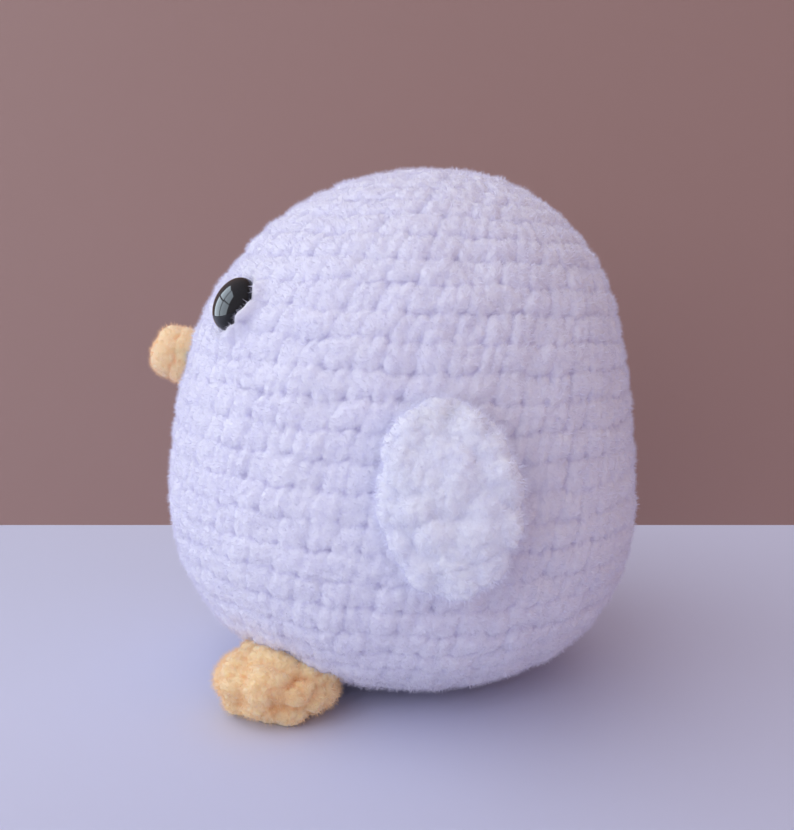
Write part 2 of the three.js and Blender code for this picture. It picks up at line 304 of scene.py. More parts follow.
class Net:
    """Adds nodes to one tree."""

    def __init__(self, tree):
        self.tree = tree

    def fill(self, node, inputs):
        """Gives sockets of a node, by name or number, their values or links."""
        for key, value in inputs.items():
            if isinstance(key, int):
                socket = node.inputs[key]
            else:
                socket = next(s for s in node.inputs if s.name == key and not s.is_unavailable)
            if isinstance(value, Value):
                value = value.socket
            if isinstance(value, bpy.types.NodeSocket):
                self.tree.links.new(value, socket)
            else:
                socket.default_value = value

    def add(self, kind, settings=None, inputs=None):
        """A node of that type. Its settings come before its sockets."""
        node = self.tree.nodes.new(kind)
        for name, value in (settings or {}).items():
            setattr(node, name, value)
        self.fill(node, inputs or {})
        return node

    def get(self, kind, settings=None, inputs=None, output=None):
        """The same, for one output of the node, the first that it has unless another is named."""
        node = self.add(kind, settings, inputs)
        fits = [s for s in node.outputs if not s.is_unavailable and output in (None, s.name)]
        return Value(self, fits[0])

    def vectors(self, operation, first, second):
        return self.get("ShaderNodeVectorMath", {"operation": operation}, {0: first, 1: second})

    def scaled(self, vector, amount):
        inputs = {0: vector, "Scale": amount}
        return self.get("ShaderNodeVectorMath", {"operation": "SCALE"}, inputs)

    def noise(self, place, scale, detail, output="Fac"):
        inputs = {"Vector": place, "Scale": scale, "Detail": detail}
        return self.get("ShaderNodeTexNoise", None, inputs, output)

    def mixed(self, amount, first, second):
        inputs = {"Factor": amount, "A": first, "B": second}
        return self.get("ShaderNodeMix", {"data_type": "RGBA"}, inputs, "Result")


class ShapeNet(Net):
    """A Geometry Nodes tree with a geometry in and out, and the named inputs given as
    (name, kind, default)."""

    def __init__(self, name, sockets):
        super().__init__(bpy.data.node_groups.new(name, "GeometryNodeTree"))
        sides = self.tree.interface
        sides.new_socket("Geometry", in_out="OUTPUT", socket_type="NodeSocketGeometry")
        sides.new_socket("Geometry", in_out="INPUT", socket_type="NodeSocketGeometry")
        for label, kind, default in sockets:
            made = sides.new_socket(label, in_out="INPUT", socket_type="NodeSocket" + kind)
            if default is not None:
                made.default_value = default
        self.entry = self.add("NodeGroupInput")
        self.leave = self.add("NodeGroupOutput")

    def given(self, name):
        return Value(self, self.entry.outputs[name])

    def kept(self, name, kind="FLOAT"):
        """What is kept for each point under that name."""
        settings = {"data_type": kind}
        return self.get("GeometryNodeInputNamedAttribute", settings, {"Name": name}, "Attribute")

    def keep(self, geometry, name, value, kind="FLOAT"):
        """The geometry, with that value kept for each point."""
        settings = {"data_type": kind, "domain": "POINT"}
        inputs = {"Geometry": geometry, "Name": name, "Value": value}
        return self.get("GeometryNodeStoreNamedAttribute", settings, inputs)

    def random(self, low, high, seed, kind="FLOAT"):
        inputs = {"Min": low, "Max": high, "Seed": seed}
        return self.get("FunctionNodeRandomValue", {"data_type": kind}, inputs, "Value")

    def lifted(self, geometry, lift):
        """Moves the surface out along its normals by the lift, and ends the tree."""
        normal = self.get("GeometryNodeInputNormal", None, None, "Normal")
        inputs = {"Geometry": geometry, "Offset": self.scaled(normal, lift)}
        return self.ended(self.get("GeometryNodeSetPosition", None, inputs))

    def ended(self, geometry):
        """The last nodes of every tree."""
        real = self.get("GeometryNodeRealizeInstances", None, {"Geometry": geometry})
        inputs = {"Geometry": real, "Material": self.given("Material")}
        self.fill(self.leave, {0: self.get("GeometryNodeSetMaterial", None, inputs)})
        return self.tree


# Meshes

def new_piece(name, data, material=None):
    piece = bpy.data.objects.new(name, data)
    bpy.context.scene.collection.objects.link(piece)
    if material is not None:
        data.materials.clear()
        data.materials.append(material)
    return piece


def evaluated(piece):
    """The piece's mesh after its modifiers."""
    bpy.context.view_layer.update()
    view = bpy.context.evaluated_depsgraph_get()
    return bpy.data.meshes.new_from_object(piece.evaluated_get(view))


def shaped(form, tree, material, inputs):
    """What a tree makes of a form, with the tree's inputs set by their names."""
    piece = new_piece("form", form)
    modifier = piece.modifiers.new(tree.name, "NODES")
    modifier.node_group = tree
    named = {s.name: s.identifier for s in tree.interface.items_tree if s.in_out == "INPUT"}
    for name, value in {**inputs, "Material": material}.items():
        modifier[named[name]] = value
    made = evaluated(piece)
    bpy.data.objects.remove(piece)
    return made


def mesh_of(name, points, faces):
    mesh = bpy.data.meshes.new(name)
    mesh.from_pydata(points, [], faces)
    mesh.update()
    mesh.shade_smooth()
    return mesh


def vectors_of(points, name):
    """One vector for each point of a mesh."""
    values = np.empty(len(points) * 3, np.float32)
    points.foreach_get(name, values)
    return values.reshape(-1, 3).astype(float)


def move_places(mesh, places):
    mesh.vertices.foreach_set("co", np.asarray(places, np.float32).ravel())
    mesh.update()


def keep_numbers(mesh, **numbers):
    """Keeps a number for each of the mesh's points, under each name."""
    for name, values in numbers.items():
        layer = mesh.attributes.new(name, "FLOAT", "POINT")
        layer.data.foreach_set("value", np.asarray(values, np.float32))


def ball_grid(cells):
    """Even quads all over a unit ball, as its points and its faces."""
    cells = cells[1]
    line = np.tan(np.linspace(-1, 1, cells + 1) * math.pi / 4)
    across, up = (side.ravel() for side in np.meshgrid(line, line, indexing="ij"))
    first = np.arange(cells)[:, None] * (cells + 1) + np.arange(cells)
    corners = np.stack([first, first + cells + 1, first + cells + 2, first + 1], -1).reshape(-1, 4)
    points = []
    faces = []
    for axis in range(3):
        for sign in (1, -1):
            side = np.stack([np.full_like(across, sign), sign * across, up], 1)
            faces.append(corners + len(points) * len(across))
            points.append(np.roll(side, axis, 1))
    points = np.concatenate(points)
    points /= np.linalg.norm(points, axis=1)[:, None]
    _, kept, where = np.unique(np.round(points, 6), axis=0, return_index=True, return_inverse=True)
    return points[kept], where.ravel()[np.concatenate(faces)]


# The body's form

def outline_radius(height, inset=0.0, low=-BASE_CUT):
    widest = BELLY_RADIUS - inset
    down = np.clip((BELLY_HEIGHT - height) / (BELLY_HEIGHT - low), 0, 1)
    up = np.clip((height - BELLY_HEIGHT) / (BODY_HEIGHT - inset - BELLY_HEIGHT), 0, 1)
    taper = CROWN_TAPER / BELLY_RADIUS * (np.hypot(up, TAPER_BLEND) - TAPER_BLEND)
    above = widest * (1 - taper) * np.sqrt(1 - up ** CROWN_POWER)
    return np.where(height < BELLY_HEIGHT, widest * np.cbrt(1 - down ** BASE_POWER), above)


def middle_at(height):
    rise = CROWN_BACK + BELLY_FORWARD * BODY_HEIGHT / BELLY_HEIGHT
    bow = rise / (BODY_HEIGHT * (BODY_HEIGHT - BELLY_HEIGHT))
    return height * (bow * (height - BELLY_HEIGHT) - BELLY_FORWARD / BELLY_HEIGHT)


def body_meridian(inset=0.0, floor=0.0, steps=1500):
    """The outline from the crown's middle to the base's middle: lengths, radii, heights."""
    low = floor - BASE_CUT
    quarter = np.linspace(0, math.pi / 2, steps)
    top = BODY_HEIGHT - inset
    heights = np.concatenate([
        BELLY_HEIGHT + (top - BELLY_HEIGHT) * np.cos(quarter),
        BELLY_HEIGHT - (BELLY_HEIGHT - low) * np.sin(quarter)[1:],
    ])
    heights = np.append(heights[heights > floor], [floor, floor])
    radii = outline_radius(heights, inset, low)
    radii[0] = 0
    radii[-1] = 0
    lengths = np.append(0, np.cumsum(np.hypot(np.diff(radii), np.diff(heights))))
    return lengths, radii, heights


def body_places(directions, inset=0.0, floor=0.0):
    """Spreads a unit ball's points evenly along the body's outline. Returns the places, the
    lengths along the outline and the turns round the body."""
    lengths, radii, heights = body_meridian(inset, floor)
    length = np.arccos(np.clip(directions[:, 2], -1, 1)) / math.pi * lengths[-1]
    turn = np.arctan2(directions[:, 1], directions[:, 0]) % (2 * math.pi)
    radius = np.interp(length, lengths, radii)
    height = np.interp(length, lengths, heights)
    places = np.stack([radius * np.cos(turn), radius * np.sin(turn) + middle_at(height), height], 1)
    return places, length, turn


def on_cover(height, turn):
    """A place on the outline, the way out and the level way round, at a turn in degrees from
    the bird's left side towards its tail."""
    around = math.radians(turn)
    step = 0.0003

    def spot(at):
        radius = float(outline_radius(at))
        return Vector((radius * math.cos(around), radius * math.sin(around) + middle_at(at), at))

    rise = (spot(height + step) - spot(height - step)).normalized()
    level = Vector((-math.sin(around), math.cos(around), 0))
    return spot(height), level.cross(rise).normalized(), level


# The crocheted pattern: one spiral of stitches from a pole

def keep_pattern(mesh, length, turn, girths, pitch, width, first=0.0, tilt=0.0):
    """Keeps, for each point, how far down its round it lies and where along the rounds: its own,
    the one above and the one below. girths holds lengths from the pole, and the girth at each."""
    round_turn = turn / (2 * math.pi)
    row = (length - first - tilt * np.sin(turn)) / pitch - round_turn
    number = np.floor(row)
    rounds = np.arange(-SPARE_ROUNDS, int(number.max()) + SPARE_ROUNDS + 1)
    around = np.interp(np.clip((rounds + 1) * pitch + first, 0, None), *girths)
    counts = np.maximum(INCREASE, INCREASE * np.round(around / (INCREASE * width))) + COLUMN_LEAN
    starts = np.append(0, np.cumsum(counts))

    def along(progress):
        at = progress - rounds[0]
        base = np.floor(at).astype(int)
        return starts[base] + (at - base) * counts[base]

    progress = number + round_turn
    keep_numbers(mesh, down=row - number, along=along(progress),
                 along_above=along(progress - 1), along_below=along(progress + 1))


def tufts_at(net, place, size, smooth):
    """Rounded clumps of pile, from 0 in the clefts between them to 1."""
    warp = net.noise(place, size ** -1 * TUFT_WARP, 2.0, "Color")
    warp = net.scaled(net.vectors("SUBTRACT", warp, (0.5, 0.5, 0.5)), size)
    warped = net.vectors("ADD", place, warp)
    inputs = {"Vector": warped, "Scale": size ** -1, "Smoothness": smooth}
    cells = net.get("ShaderNodeTexVoronoi", {"feature": "SMOOTH_F1"}, inputs, "Distance")
    return 1 - (cells * TUFT_CLEFT) ** 2


def stitch_leg(net, cell, inside, height, side, shift):
    """The height of one leg of a stitch, from 0 to about 1. Side is -1 or 1 for its two legs, and
    shift names the column beside this one that the stitch is in, or 0."""
    given = net.given
    uneven = given("Unevenness")
    inputs = {"W": cell + shift + given("Seed") * SEED_STEP}
    random = net.get("ShaderNodeTexWhiteNoise", {"noise_dimensions": "1D"}, inputs, "Color")
    parts = net.add("ShaderNodeSeparateXYZ", None, {0: random})
    sideways, taller, longer = (Value(net, s) - 0.5 for s in parts.outputs)
    spread = given("Leg Spread") * (1 + LEG_SPLAY / 2 - height * LEG_SPLAY)
    middle = spread * side + 0.5 + shift
    middle = middle - given("Lean") * (height - 0.5) + sideways * uneven * LEG_SHIFT
    across = (inside - middle) / (given("Leg Width") * (longer * uneven * LEG_GIRTH + 1))
    up = height - 0.5 + longer * uneven * LEG_RISE + side * LEG_STAGGER
    up = up.size() / given("Leg Height")
    swell = (1 - across * across - up ** LEG_POWER).root()
    return swell * (taller * uneven * LEG_TALLER + 1)


def skin_tree():
    """Raises a smooth form into crocheted stitches. Each stitch is two plump legs of yarn that
    meet at its foot, and its foot covers the top of the round below. Tufts of pile cover it."""
    net = ShapeNet("crocheted skin", [
        ("Rise", "Float", 0.0013),
        ("Sink", "Float", FABRIC_SINK),
        ("Unevenness", "Float", 1.0),
        ("Leg Width", "Float", 0.42),
        ("Leg Spread", "Float", 0.2),
        ("Leg Height", "Float", 0.57),
        ("Blend", "Float", 0.2),
        ("Lean", "Float", COLUMN_LEAN),
        ("Tuft Height", "Float", 0.00022),
        ("Tuft Size", "Float", 0.0022),
        ("Lump Height", "Float", 0.0007),
        ("Lump Size", "Float", 0.0095),
        # How much painted shade darkens the creases between stitches, and the clefts between lumps
        ("Stitch Crease", "Float", 1.0),
        ("Lump Crease", "Float", 0.0),
        ("Seed", "Float", 0.0),
        ("Material", "Material", None),
    ])
    given = net.given
    place = net.get("GeometryNodeInputPosition")

    def noise(length, detail=1.0):
        settings = {"noise_dimensions": "4D"}
        inputs = {"Vector": place, "W": given("Seed"), "Scale": 1 / length, "Detail": detail}
        return net.get("ShaderNodeTexNoise", settings, inputs, "Fac")

    wander = (noise(WANDER_LENGTH) - 0.5) * given("Unevenness")
    drift = (noise(DRIFT_LENGTH, 0.0) - 0.5) * given("Unevenness")
    relief = None
    for level, name in ((-1, "along_above"), (0, "along"), (1, "along_below")):
        here = net.kept(name) + wander * WANDER
        height = net.kept("down") - level + drift * DRIFT
        cell = here.floor()
        for side, shift in ((-1, 0), (1, 0), (1, -1), (-1, 1)):
            leg = stitch_leg(net, cell, here - cell, height, side, shift)
            relief = leg if relief is None else relief.soft_max(leg, given("Blend"))
    relief = relief.soft_max(noise(LOOSE_YARN_LENGTH) - LOOSE_YARN, LOOSE_YARN_BLEND)
    tufts = tufts_at(net, place, given("Tuft Size"), TUFT_SMOOTH)
    tufts = (tufts - 0.5) * given("Tuft Height") * 2
    lumps = tufts_at(net, place, given("Lump Size"), LUMP_SMOOTH)
    lift = (relief - 1) * given("Rise") + (lumps - 0.5) * given("Lump Height") + tufts
    # shade is a mask for painted shade, kept under the name relief: low in the creases between
    # stitches and the clefts between lumps, where the yarn's material paints its darker colour as
    # shade
    shade = 1 - (1 - relief) * given("Stitch Crease") - (1 - lumps) * given("Lump Crease")
    return net.lifted(net.keep(given("Geometry"), "relief", shade), lift - given("Sink"))


def pile_tree():
    """Short fibres that stand on a skin, and lean together in clumps. They are shaded partly as
    the skin that they stand on, because so fine a pile has hardly any sides to see."""
    net = ShapeNet("pile", [
        ("Density", "Float", 2000000.0),
        ("Length", "Float", 0.0012),
        ("Width", "Float", 0.00011),
        ("Clump Size", "Float", 0.0020),
        ("Clump Lean", "Float", 0.9),
        ("Loose Lean", "Float", 0.8),
        ("Own Shade", "Float", 0.45),
        ("Rim Length", "Float", 0.0),
        ("Seed", "Int", 0),
        ("Material", "Material", None),
    ])
    given = net.given
    place = net.get("GeometryNodeInputPosition")
    spread = net.add("GeometryNodeDistributePointsOnFaces", None, {
        "Mesh": given("Geometry"), "Density": given("Density"), "Seed": given("Seed")})
    outward = spread.outputs["Normal"]
    clump = net.noise(place, given("Clump Size") ** -1, 1.0, "Color")
    clump = net.vectors("SUBTRACT", clump, (0.5, 0.5, 0.5))
    lean = net.vectors("ADD", outward, net.scaled(clump, given("Clump Lean") * CLUMP_REACH))
    loose = net.random((-1, -1, -1), (1, 1, 1), given("Seed"), "FLOAT_VECTOR")
    way = net.vectors("ADD", lean, net.scaled(loose, given("Loose Lean")))
    way = net.get("ShaderNodeVectorMath", {"operation": "NORMALIZE"}, {0: way})
    soft = net.vectors("ADD", net.scaled(outward, 1 - given("Own Shade")),
                       net.scaled(way, given("Own Shade")))
    points = net.keep(spread.outputs["Points"], "soft normal", soft, "FLOAT_VECTOR")
    room = net.kept("pile").math("GREATER_THAN", net.random(0.0, 1.0, ROOM_SEED))
    size = net.random(*FIBRE_SIZES, SIZE_SEED) * (net.kept("rim") * given("Rim Length") + 1)
    fibre = net.get("GeometryNodeMeshCone", {"fill_type": "NGON"}, {
        "Vertices": 3, "Side Segments": 1, "Fill Segments": 1, "Radius Top": 0.0,
        "Radius Bottom": given("Width") * 0.5, "Depth": given("Length")}, "Mesh")
    turned = net.get("FunctionNodeAlignRotationToVector", {"axis": "Z"}, {"Vector": way})
    sown = net.get("GeometryNodeInstanceOnPoints", None, {
        "Points": points, "Selection": room, "Instance": fibre, "Rotation": turned,
        "Scale": size})
    real = net.get("GeometryNodeRealizeInstances", None, {"Geometry": sown})
    axes = net.add("ShaderNodeSeparateXYZ", None, {0: place}).outputs
    height = Value(net, axes["Z"]).math("MAXIMUM", TABLE_GAP)
    above = net.get("ShaderNodeCombineXYZ", None, {"X": axes["X"], "Y": axes["Y"], "Z": height})
    real = net.get("GeometryNodeSetPosition", None, {"Geometry": real, "Position": above})
    inputs = {"Mesh": real, "Custom Normal": net.kept("soft normal", "FLOAT_VECTOR")}
    settings = {"mode": "FREE", "domain": "POINT"}
    return net.ended(net.get("GeometryNodeSetMeshNormal", settings, inputs))


def fill_tree():
    """Loose fibre: a surface drawn in here and there, never out."""
    net = ShapeNet("loose fibre", [
        ("Depth", "Float", 0.0016),
        ("Clump Size", "Float", 0.011),
        ("Material", "Material", None),
    ])
    place = net.get("GeometryNodeInputPosition")
    scale = net.given("Clump Size") ** -1
    inputs = {"Vector": place, "Scale": scale, "Detail": 4.0, "Roughness": 0.62}
    clump = net.get("ShaderNodeTexNoise", None, inputs, "Fac")
    return net.lifted(net.given("Geometry"), clump * net.given("Depth") * -1)


# Materials

def colour(red, green, blue):
    """A colour as a screen shows it, from 0 to 255, in the linear values that Blender takes."""
    def linear(part):
        part = part / 255
        return part / 12.92 if part <= 0.04045 else ((part + 0.055) / 1.055) ** 2.4
    return (linear(red), linear(green), linear(blue), 1.0)


# The yarns' colours, the darker colours painted into their creases as shade, how far light of each
# colour spreads in them, and what all fibres share
WHITE = colour(233, 232, 248)
WHITE_PAINTED_SHADE = colour(190, 184, 214)
# The wings' white: the same yarn painted lighter, as painted light for wings that face the light
# more
WHITE_PAINTED_LIGHTER = colour(238, 239, 255)
PEACH = colour(255, 219, 176)
PEACH_PAINTED_SHADE = colour(253, 180, 108)
APRICOT = colour(255, 223, 178)
APRICOT_PAINTED_SHADE = colour(230, 168, 95)
EVEN_GLOW = (1.0, 1.0, 1.0)
WARM_GLOW = (1.0, 0.8, 0.55)
FIBRES = {"Sheen Weight": 0.3, "Sheen Roughness": 0.45, "Specular IOR Level": 0.15}


def new_material(name, constants):
    """A material, its net and its shader, with those constants on the shader's sockets."""
    material = bpy.data.materials.new(name)
    material.use_nodes = True
    net = Net(material.node_tree)
    shader = material.node_tree.nodes["Principled BSDF"]
    net.fill(shader, constants)
    return material, net, shader


def yarn_material(name, light, painted_shade, glow):
    """Chenille yarn. Light sinks into its pile, which is velvety at a low angle. Its colour is
    painted darker in the creases between stitches as painted shade, and drifts a little at random."""
    material, net, shader = new_material(name, FIBRES | {
        "Subsurface Weight": 0.85, "Subsurface Radius": glow, "Subsurface Scale": 0.0024})
    place = net.get("ShaderNodeTexCoord", None, None, "Object")
    broad = net.noise(place, 60.0, 2.0)
    fine = net.noise(place, 1700.0, 3.0)
    clumps = net.get("ShaderNodeTexVoronoi", None, {"Vector": place, "Scale": 900.0}, "Distance")
    # relief is the skin's mask for painted shade: where it is low, in the creases, the colour is
    # mixed towards the painted-shade colour, and the noises add a random drift
    relief = net.get("ShaderNodeAttribute", {"attribute_name": "relief"}, None, "Fac")
    shade_and_drift = relief.ramp(-0.1, 0.7) * 0.8 + broad * 0.25 + fine * 0.25 - 0.1
    tint = net.mixed(shade_and_drift.math("MAXIMUM", 0).math("MINIMUM", 1), painted_shade, light)
    nap = fine * 0.6 + (1 - clumps) * 0.4
    inputs = {"Height": nap, "Strength": 0.5, "Distance": 0.0006}
    bump = net.get("ShaderNodeBump", None, inputs, "Normal")
    net.fill(shader, {"Base Color": tint, "Roughness": fine * 0.15 + 0.82, "Normal": bump})
    return material


def clouded_material(name, scale, first, second, constants, ramp=None, gloss=None, detail=3.0):
    """A material whose colour drifts from the first to the second with a noise of that scale.
    The roughness drifts with it where gloss names the least and the span."""
    material, net, shader = new_material(name, constants)
    place = net.get("ShaderNodeTexCoord", None, None, "Object")
    cloud = net.noise(place, scale, detail)
    share = cloud.ramp(*ramp) if ramp else cloud
    net.fill(shader, {"Base Color": net.mixed(share, first, second)})
    if gloss:
        net.fill(shader, {"Roughness": cloud * gloss[1] + gloss[0]})
    return material


def fibre_material(name, light, dark):
    """Loose fibres, a little darker here and there."""
    return clouded_material(name, 500.0, dark, light, FIBRES | {"Roughness": 0.9},
                            ramp=(0.3, 0.6), detail=2.0)


def eye_material():
    """Polished black plastic, with the faintest dust."""
    return clouded_material("black plastic", 700.0, colour(7, 7, 9), colour(22, 22, 26),
                            {"Specular IOR Level": 0.4}, ramp=(0.5, 0.9), gloss=(0.02, 0.06))


def washer_material():
    """Milky plastic, faintly clouded."""
    return clouded_material("milky plastic", 400.0, colour(214, 218, 224),
                            colour(234, 236, 240), {"Transmission Weight": 0.15},
                            gloss=(0.32, 0.15))


def studio_material(name, shown):
    """A matte surface of nearly even colour."""
    shade = tuple(part * 0.97 for part in shown[:3]) + (1.0,)
    return clouded_material(name, 9.0, shown, shade, {"Roughness": 0.6})


def clear_from_behind(material):
    """Lets a camera behind the surface see through it."""
    net = Net(material.node_tree)
    nodes = material.node_tree.nodes
    behind = net.get("ShaderNodeNewGeometry", None, None, "Backfacing")
    clear = net.get("ShaderNodeBsdfTransparent")
    front = nodes["Principled BSDF"].outputs[0]
    mix = net.get("ShaderNodeMixShader", None, {0: behind, 1: front, 2: clear})
    net.fill(nodes["Material Output"], {"Surface": mix})
    return material


# Pieces

class Yarn:
    """One look of chenille yarn: the slot of its pieces, and the finish of skin and pile."""

    def __init__(self, name, slot, light, painted_shade, glow):
        self.slot = slot
        self.skin = yarn_material(name, light, painted_shade, glow)
        # The pile's darker tone takes a share of the painted-shade colour, and the pile material
        # spreads it at random
        dark = tuple((1 - PILE_SHADE) * a + PILE_SHADE * b for a, b in zip(light, painted_shade))
        self.pile = fibre_material(name + " pile", light, dark)


def grown_skin(form, yarn, fabric):
    """The crocheted mesh of a smooth form."""
    made = shaped(form, SKIN, yarn.skin, fabric)
    made.shade_smooth()
    return made


def finish(piece, body, node, slot):
    """Says what a finished piece rides on and replaces. Its slot is not used."""
    piece.data.shade_smooth()
    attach(piece, body)
    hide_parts(node)


def grown_pile(name, skin, yarn, body, pile, parts=1):
    """The pile of one piece, in as many parts as named."""
    for part in range(parts):
        fibres = shaped(skin, PILE, yarn.pile, pile | {"Seed": SOWING_SEED + part})
        label = f"{name}_{part + 1}" if parts > 1 else name
        grown = new_piece(label, fibres)
        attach(grown, body)


def above_table(places, ramp):
    """0 at the table, 1 above it: where pile may grow."""
    return np.clip((places[:, 2] - PILE_START) / ramp, 0, 1)


def cut(mesh, cutters):
    """Takes closed meshes out of a closed mesh."""
    piece = new_piece("being cut", mesh)
    helpers = [new_piece("cutter", cutter) for cutter in cutters]
    for helper in helpers:
        modifier = piece.modifiers.new("cut", "BOOLEAN")
        modifier.operation = "DIFFERENCE"
        modifier.solver = "MANIFOLD"
        modifier.object = helper
    made = evaluated(piece)
    for helper in [piece, *helpers]:
        bpy.data.objects.remove(helper)
    return made


def ring_faces(rings, sides):
    """The quads between rings of points, each ring above the one before."""
    faces = []
    for row in range(rings - 1):
        low, high = row * sides, (row + 1) * sides
        for side in range(sides):
            after = (side + 1) % sides
            faces.append((low + side, low + after, high + after, high + side))
    return faces


def turned(name, profile, sides, place):
    """A profile of radii and heights, from the axis to the axis, turned round it and placed."""
    profile = np.array(profile)
    inner = profile[1:-1]
    turn = np.linspace(0, 2 * math.pi, sides, endpoint=False)
    ring = np.stack([np.outer(inner[:, 0], np.cos(turn)), np.outer(inner[:, 0], np.sin(turn)),
                     np.repeat(inner[:, 1:], sides, 1)], -1).reshape(-1, 3)
    points = np.concatenate([ring, [[0, 0, profile[0, 1]], [0, 0, profile[-1, 1]]]])
    faces = ring_faces(len(inner), sides)
    last = len(ring) - sides
    for side in range(sides):
        after = (side + 1) % sides
        faces.append((len(ring), after, side))
        faces.append((last + side, last + after, len(ring) + 1))
    return mesh_of(name, [place @ Vector(point) for point in points], faces)


def set_on(point, outward, level):
    """The place of something made round +Z: +Z becomes the way out, +X the level way round."""
    across = outward.cross(level)
    turn = Matrix((level, across, outward)).transposed()
    return Matrix.Translation(point) @ turn.to_4x4()


def plug(name, radius, low, high, place, sides=48):
    return turned(name, [(0, low), (radius, low), (radius, high), (0, high)], sides, place)


def mirrored(mesh):
    """The mesh on the bird's other side, with its faces still pointing outwards."""
    mesh.transform(MIRROR)
    mesh.flip_normals()
    return mesh


def depth_of_cover(point, outward):
    """How far the cover's inside lies behind a place on it."""
    depth = 0.0
    while depth < 4 * COVER_WALL:
        at = point - outward * depth
        inner = float(outline_radius(at.z, COVER_WALL, COVER_FLOOR))
        if math.hypot(at.x, at.y - middle_at(at.z)) < inner:
            break
        depth += SEARCH_STEP
    return depth


# Eyes

def eye_places():
    """Each eye's seat, the left one first: its place, the way out and the level way round."""
    return [on_cover(EYE_HEIGHT, turn) for turn in (EYE_TURN - 90, -90 - EYE_TURN)]


def eye_profile():
    """An eye's radii and heights, from the tip of its ribbed post to the top of its dome."""
    radius = EYE_DIAMETER / 2
    post = POST_DIAMETER / 2
    profile = [(0, -POST_LENGTH), (post - TIP_TAPER, -POST_LENGTH), (post, POST_TIP - POST_LENGTH)]
    for rib in range(1, RIB_COUNT + 1):
        height = POST_TIP - POST_LENGTH + rib * RIB_PITCH
        profile += [
            (post, height - RIB_PITCH / 2),
            (post + RIB_DEPTH, height - RIB_PITCH / 4),
            (post, height),
        ]
    profile += [(post, 0), (radius - RIM_EDGE, 0), (radius, RIM_EDGE), (radius, EYE_RIM)]
    for step in range(1, DOME_STEPS):
        turn = math.pi / 2 * step / DOME_STEPS
        profile.append((radius * math.cos(turn), EYE_RIM + (EYE_DOME - EYE_RIM) * math.sin(turn)))
    return profile + [(0, EYE_DOME)]


def eyes(plastic):
    for side, (point, outward, level) in zip(SIDES, eye_places()):
        place = set_on(point - outward * EYE_SINK, outward, level)
        mesh = turned("eye", eye_profile(), EYE_SIDES, place)
        piece = new_piece(side + "domed_eye", mesh, plastic)
        finish(piece, "body", side + "eye", "eye_plastic")


def eye_cutters():
    """What the eyes take out of the cover, and their washers out of the filling."""
    posts = []
    pockets = []
    hole = POST_DIAMETER / 2 + RIB_DEPTH + SEAT_GAP
    room = POST_LENGTH + EYE_SINK
    for point, outward, level in eye_places():
        place = set_on(point - outward * EYE_SINK, outward, level)
        posts.append(plug("post hole", hole, -room, EYE_DOME, place))
        pockets.append(plug("washer pocket", WASHER_DIAMETER / 2 + SEAT_GAP, -room, 0, place))
    return posts, pockets


def round_eyes(places):
    """For each eye: the places' heights over its seat, their distances from its axis, how far
    round they lie towards the tail and down, from -1 to 1, and the way out."""
    turn = math.radians(LIP_TURN)
    for point, outward, level in eye_places():
        offset = places - np.array(point)
        height = offset @ np.array(outward)
        flat = offset - height[:, None] * np.array(outward)
        aside = np.linalg.norm(flat, axis=1)
        level = np.array(level) * (1 if point.x > 0 else -1)
        tailward = flat @ level / np.maximum(aside, 1e-6)
        downward = -flat[:, 2] / np.maximum(aside, 1e-6)
        lie = tailward * math.cos(turn) + downward * math.sin(turn)
        yield height, aside, lie, np.array(outward)


def bank_round_eyes(places):
    """Lets the form swell round each eye, most on the side towards the tail, round by round."""
    radius = EYE_DIAMETER / 2
    for height, aside, lie, outward in round_eyes(places):
        bank = np.clip(1 - np.abs(aside - radius - LIP_WIDTH / 2) / LIP_WIDTH, 0, 1)
        swell = LIP_HEIGHT * (bank * bank * (3 - 2 * bank))
        swell *= np.clip(LIP_EVEN + (1 - LIP_EVEN) * lie, 0, 1)
        rounds = 2 * math.pi * (places[:, 2] - EYE_HEIGHT) / ROUND_PITCH
        swell *= 1 - LIP_NOTCH * np.cos(rounds)
        places += np.where(np.abs(height) < radius, swell, 0)[:, None] * outward
    return places


def make_room_for_eyes(places):
    """Presses the stitches down under each eye."""
    radius = EYE_DIAMETER / 2
    for height, aside, _, outward in round_eyes(places):
        near = (aside < 3 * radius) & (np.abs(height) < radius)
        beside = np.clip((aside - radius - SEAT_GAP) / RIM_ROOM, 0, 1)
        limit = beside * BESIDE_EYE - EYE_SINK - SEAT_GAP
        places += np.where(near, np.minimum(limit - height, 0), 0)[:, None] * outward
    return places


def clear_of_eyes(places):
    """0 under an eye, 1 away from it: where pile may grow."""
    room = np.ones(len(places))
    for height, aside, _, _ in round_eyes(places):
        room[(aside < EYE_DIAMETER / 2) & (np.abs(height) < EYE_DIAMETER)] = 0
    return room


# Sewing yarn

def yarn_line(run, reach, depth, tail):
    """A stitch's middle line: out through the cover, along inside the sewn piece, and back."""
    half = run / 2 + YARN_BEND
    back = -depth - YARN_INSIDE
    end = run / 2 - tail
    path = [(-end, back), (-half, back), (-half, reach), (half, reach), (half, back), (end, back)]
    corners = [Vector((along, 0, out)) for along, out in path]
    points = [corners[0]]
    for before, corner, after in zip(corners, corners[1:], corners[2:]):
        start = corner + (before - corner).normalized() * YARN_BEND
        stop = corner + (after - corner).normalized() * YARN_BEND
        for step in range(BEND_STEPS + 1):
            share = step / BEND_STEPS
            points.append(start.lerp(corner, share).lerp(corner.lerp(stop, share), share))
    points.append(corners[-1])
    return points


